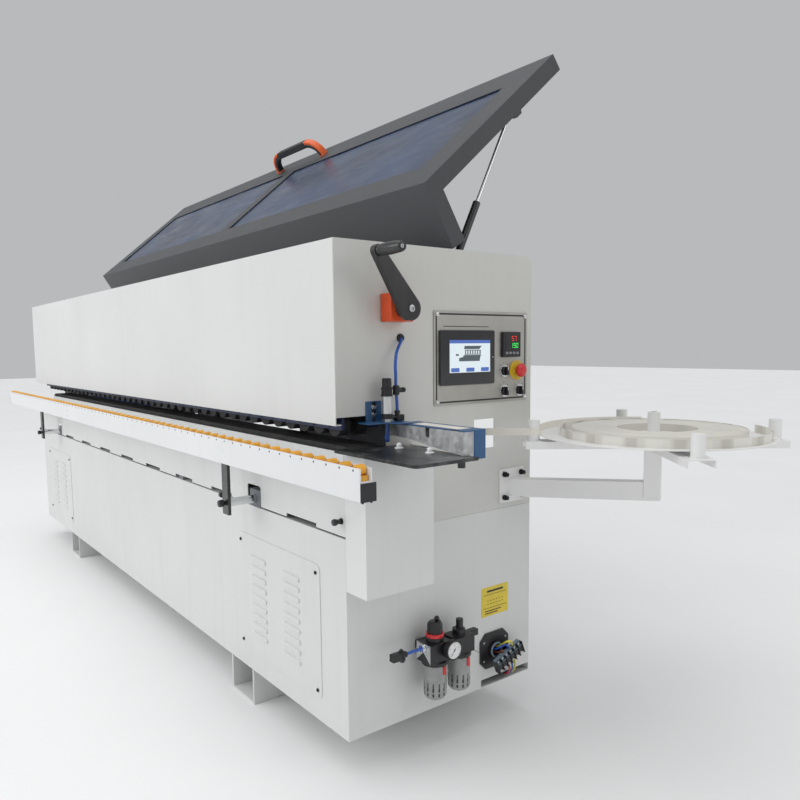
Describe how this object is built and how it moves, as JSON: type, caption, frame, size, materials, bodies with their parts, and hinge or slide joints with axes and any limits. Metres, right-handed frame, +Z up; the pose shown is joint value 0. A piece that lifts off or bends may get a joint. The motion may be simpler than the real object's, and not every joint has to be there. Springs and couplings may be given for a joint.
{
  "type": "edge banding machine",
  "caption": "Straight-line edge banding machine with a chain feed, pressure beam, hinged rear lid on gas struts, tape tray, outboard support rail and end-panel controls.",
  "frame": {"origin": "on the floor, midway between the four anchor holes", "axes": "+Z up, +X along the machine towards the infeed end, -Y towards the operator"},
  "size_m": [4.215, 1.219, 2.0097],
  "materials": {
    "body_light": "textured powder coat",
    "body_white": "smooth powder coat",
    "frame_grey": "satin",
    "black_steel": "black oxide",
    "bare_steel": "machined",
    "pad_rubber": "matte",
    "motor_blue": "satin",
    "beam_blue": "satin",
    "black_metal": "satin",
    "black_plastic": "smooth",
    "orange_plastic": "moulded",
    "lid_charcoal": "fine texture",
    "window_blue": "tinted film",
    "handle_black": "satin",
    "strut_black": "gloss",
    "strut_chrome": "polished",
    "table_black": "satin",
    "fence_zinc": "zinc plated",
    "guard_blue": "satin",
    "cylinder_alu": "anodised",
    "pin_blue": "moulded",
    "hose_blue": "smooth",
    "rail_alu": "anodised",
    "roller_yellow": "moulded",
    "rod_steel": "ground",
    "tray_white": "smooth powder coat",
    "tape_cream": "satin",
    "plate_grey": "satin",
    "screen_black": "smooth",
    "stop_red": "moulded",
    "knob_black": "moulded",
    "air_black": "moulded",
    "bowl_grey": "moulded",
    "gland_black": "moulded",
    "wire_green": "sleeved",
    "unit_grey": "painted",
    "unit_alu": "machined",
    "buff_cloth": "stitched"
  },
  "bodies": {
    "base": {"cabinet": "body_light", "floor_channels": "body_light", "front_panel": "body_white", "vent_covers": "body_light", "fasteners": "black_steel", "end_panel_infeed": "body_light", "end_panel_outfeed": "body_light", "beam_hood": "body_white", "machine_frame": "frame_grey", "conveyor_beam": "body_white", "conveyor_end_housing": "body_white", "conveyor_pads": "pad_rubber", "drive_motor": "motor_blue", "position_indicator": "orange_plastic", "lid_hinges": "black_steel", "infeed_table": "table_black", "infeed_fence": "fence_zinc", "fence_guard": "guard_blue", "stopper_cylinder": "cylinder_alu", "stopper_hose": "hose_blue", "tray_arm": "tray_white", "tray_cross": "tray_white", "edge_tape": "tape_cream", "control_plate": "plate_grey", "touch_screen": "screen_black", "temperature_controller": "screen_black", "air_unit": "air_black", "air_bowls": "bowl_grey", "cable_gland": "gland_black", "lead_wires": "wire_green", "glue_unit": "unit_grey", "trim_buff_units": "unit_grey"},
    "lid": {"lid_shell": "lid_charcoal", "lid_windows": "window_blue", "lid_handle": "handle_black"},
    "strut_tube_in": {"strut_tube_infeed": "strut_black"},
    "strut_rod_in": {"strut_rod_infeed": "strut_chrome"},
    "strut_tube_out": {"strut_tube_outfeed": "strut_black"},
    "strut_rod_out": {"strut_rod_outfeed": "strut_chrome"},
    "press_beam": {"pressure_beam": "beam_blue", "pressure_wheels": "pad_rubber"},
    "crank": {"crank_arm": "black_metal"},
    "grip": {"crank_grip": "black_plastic"},
    "rail": {"support_rail": "rail_alu", "rail_rollers": "roller_yellow", "rail_rods": "rod_steel"},
    "turntable": {"tray_disc": "tray_white", "tape_coil": "tape_cream"},
    "stopper": {"stopper_pin": "pin_blue"},
    "stop_button": {"emergency_stop": "stop_red"},
    "switch_upper": {"selector_upper": "knob_black"},
    "switch_front": {"selector_front": "knob_black"},
    "switch_rear": {"selector_rear": "knob_black"},
    "air_knob": {"regulator_knob": "knob_black"},
    "infeed_sprocket": {"sprocket_infeed": "bare_steel"},
    "outfeed_sprocket": {"sprocket_outfeed": "bare_steel"},
    "glue_wheel": {"glue_roller": "bare_steel"},
    "edge_roller": {"press_roller": "pad_rubber"},
    "trim_carriage": {"end_trim_carriage": "unit_alu"},
    "buff_wheel": {"buffing_wheel": "buff_cloth"}
  },
  "joints": [
    {"name": "lid_hinge", "type": "hinge", "parent": "base", "child": "lid", "pos_m": [0.2, 0.048, 1.396], "axis": [1, 0, 0], "range_deg": [-130, 0]},
    {"name": "strut_turn_in", "type": "hinge", "parent": "base", "child": "strut_tube_in", "pos_m": [1.613, 0.016, 1.242], "axis": [1, 0, 0], "range_deg": [-121.15, 0]},
    {"name": "strut_stroke_in", "type": "slide", "parent": "strut_tube_in", "child": "strut_rod_in", "axis": [0, 0.4415, 0.8973], "range_m": [-0.27627, 0]},
    {"name": "strut_turn_out", "type": "hinge", "parent": "base", "child": "strut_tube_out", "pos_m": [-1.207, 0.016, 1.242], "axis": [1, 0, 0], "range_deg": [-121.15, 0]},
    {"name": "strut_stroke_out", "type": "slide", "parent": "strut_tube_out", "child": "strut_rod_out", "axis": [0, 0.4415, 0.8973], "range_m": [-0.27627, 0]},
    {"name": "beam_lift", "type": "slide", "parent": "base", "child": "press_beam", "axis": [0, 0, 1], "range_m": [-0.01, 0.035]},
    {"name": "crank_turn", "type": "hinge", "parent": "base", "child": "crank", "pos_m": [1.738, -0.185, 1.217], "axis": [1, 0, 0], "range_deg": [-361, 1261]},
    {"name": "grip_spin", "type": "hinge", "parent": "crank", "child": "grip", "pos_m": [1.788, -0.28095, 1.35], "axis": [1, 0, 0], "continuous": true},
    {"name": "rail_pull", "type": "slide", "parent": "base", "child": "rail", "axis": [0, -1, 0], "range_m": [0, 0.3]},
    {"name": "tray_spin", "type": "hinge", "parent": "base", "child": "turntable", "pos_m": [2.008, 0.443, 0.876], "axis": [0, 0, 1], "continuous": true},
    {"name": "stopper_lift", "type": "slide", "parent": "base", "child": "stopper", "axis": [0, 0, 1], "range_m": [0, 0.03]},
    {"name": "stop_push", "type": "slide", "parent": "base", "child": "stop_button", "axis": [-1, 0, 0], "range_m": [0, 0.004], "stiffness_N_per_m": 600, "springref_m": -0.004},
    {"name": "switch_turn_upper", "type": "hinge", "parent": "base", "child": "switch_upper", "pos_m": [1.67, 0.219, 1.051], "axis": [1, 0, 0], "range_deg": [-45, 45]},
    {"name": "switch_turn_front", "type": "hinge", "parent": "base", "child": "switch_front", "pos_m": [1.67, 0.219, 0.993], "axis": [1, 0, 0], "range_deg": [-45, 45]},
    {"name": "switch_turn_rear", "type": "hinge", "parent": "base", "child": "switch_rear", "pos_m": [1.67, 0.281, 0.993], "axis": [1, 0, 0], "range_deg": [-45, 45]},
    {"name": "knob_turn", "type": "hinge", "parent": "base", "child": "air_knob", "pos_m": [1.716, -0.096, 0.376], "axis": [0, 0, 1], "range_deg": [-900, 900]},
    {"name": "infeed_sprocket_spin", "type": "hinge", "parent": "base", "child": "infeed_sprocket", "pos_m": [1.64, -0.287, 0.831], "axis": [0, 1, 0], "continuous": true},
    {"name": "outfeed_sprocket_spin", "type": "hinge", "parent": "base", "child": "outfeed_sprocket", "pos_m": [-1.344, -0.287, 0.831], "axis": [0, 1, 0], "continuous": true},
    {"name": "glue_spin", "type": "hinge", "parent": "base", "child": "glue_wheel", "pos_m": [1.298, -0.165, 0.879], "axis": [0, 0, 1], "continuous": true},
    {"name": "edge_roller_spin", "type": "hinge", "parent": "base", "child": "edge_roller", "pos_m": [1.158, -0.155, 0.879], "axis": [0, 0, 1], "continuous": true},
    {"name": "trim_travel", "type": "slide", "parent": "base", "child": "trim_carriage", "axis": [1, 0, 0], "range_m": [-0.1, 0.18]},
    {"name": "buff_spin", "type": "hinge", "parent": "base", "child": "buff_wheel", "pos_m": [-0.382, -0.167, 1.029], "axis": [0, 1, 0], "continuous": true}
  ],
  "couplings": [
    {"joint": "strut_turn_in", "follows": "lid_hinge", "ratio": 0.93185},
    {"joint": "strut_stroke_in", "follows": "lid_hinge", "m_per_rad": 0.12176},
    {"joint": "strut_turn_out", "follows": "lid_hinge", "ratio": 0.93185},
    {"joint": "strut_stroke_out", "follows": "lid_hinge", "m_per_rad": 0.12176},
    {"joint": "crank_turn", "follows": "beam_lift", "rad_per_m": 628.32},
    {"joint": "outfeed_sprocket_spin", "follows": "infeed_sprocket_spin", "ratio": 1}
  ]
}
